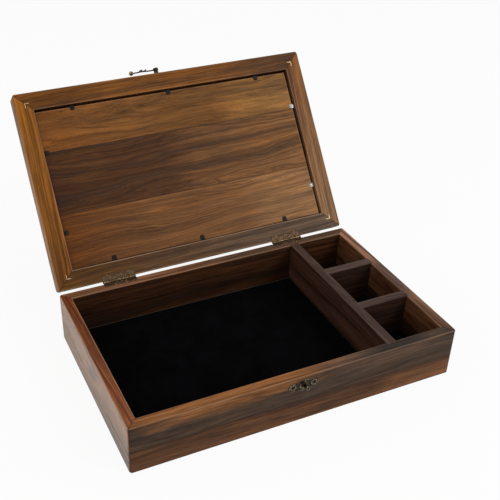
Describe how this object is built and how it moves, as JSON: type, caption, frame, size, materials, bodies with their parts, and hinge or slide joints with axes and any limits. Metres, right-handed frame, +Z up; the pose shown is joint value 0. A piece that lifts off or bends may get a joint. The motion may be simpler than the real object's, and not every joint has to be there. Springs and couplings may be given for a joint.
{
  "type": "dice storage chest",
  "caption": "Shallow wooden storage chest with a hinged framed lid, a swing-hook catch, a lined tray and a column of open lined cells.",
  "frame": {"origin": "middle of the chest's underside, on the surface it stands on", "axes": "+Z up, +X to the user's right, +Y to the back, where the hinges are; the lid is open at rest"},
  "size_m": [0.33, 0.3516, 0.2227],
  "materials": {
    "base_wood": "dark walnut-brown stain, thin satin lacquer",
    "lid_wood": "dark walnut-brown stain, thin satin lacquer",
    "panel_wood": "brown stain, flowing grain, satin",
    "black_velvet": "short black pile",
    "antique_bronze": "antique bronze plating, worn bright on edges",
    "black_steel": "blackened sheet steel",
    "bright_steel": "bare steel"
  },
  "bodies": {
    "base": {"back_wall_lower": "base_wood", "back_wall_upper": "base_wood", "bottom_board": "base_wood", "catch_plate": "antique_bronze", "catch_screws": "antique_bronze", "catch_stud": "antique_bronze", "cell_lining_1": "black_velvet", "cell_lining_2": "black_velvet", "cell_lining_3": "black_velvet", "cross_divider_1": "base_wood", "cross_divider_2": "base_wood", "front_wall_lower": "base_wood", "front_wall_upper": "base_wood", "hinge_base_leaf_left": "antique_bronze", "hinge_base_leaf_right": "antique_bronze", "hinge_base_screws": "antique_bronze", "hinge_pin_left": "antique_bronze", "hinge_pin_right": "antique_bronze", "left_wall_lower": "base_wood", "left_wall_upper": "base_wood", "long_divider": "base_wood", "right_wall_lower": "base_wood", "right_wall_upper": "base_wood", "tray_lining": "black_velvet"},
    "lid": {"corner_v_nails": "bright_steel", "hinge_lid_leaf_left": "antique_bronze", "hinge_lid_leaf_right": "antique_bronze", "hinge_lid_screws": "antique_bronze", "latch_plate": "antique_bronze", "latch_rivet": "antique_bronze", "latch_screws": "antique_bronze", "lid_back_rail": "lid_wood", "lid_front_rail": "lid_wood", "lid_left_rail": "lid_wood", "lid_panel_stave_1": "panel_wood", "lid_panel_stave_2": "panel_wood", "lid_panel_stave_3": "panel_wood", "lid_right_rail": "lid_wood", "panel_tabs": "black_steel"},
    "hook": {"swing_hook": "antique_bronze"}
  },
  "joints": [
    {"name": "lid_hinge", "type": "hinge", "parent": "base", "child": "lid", "pos_m": [0, 0.10385, 0.05277], "axis": [1, 0, 0], "range_deg": [0, 127.4]},
    {"name": "hook_swing", "type": "hinge", "parent": "lid", "child": "hook", "pos_m": [-0.0046, 0.23455, 0.21265], "axis": [0, 0.6018, 0.7986], "range_deg": [-180, 90]}
  ]
}
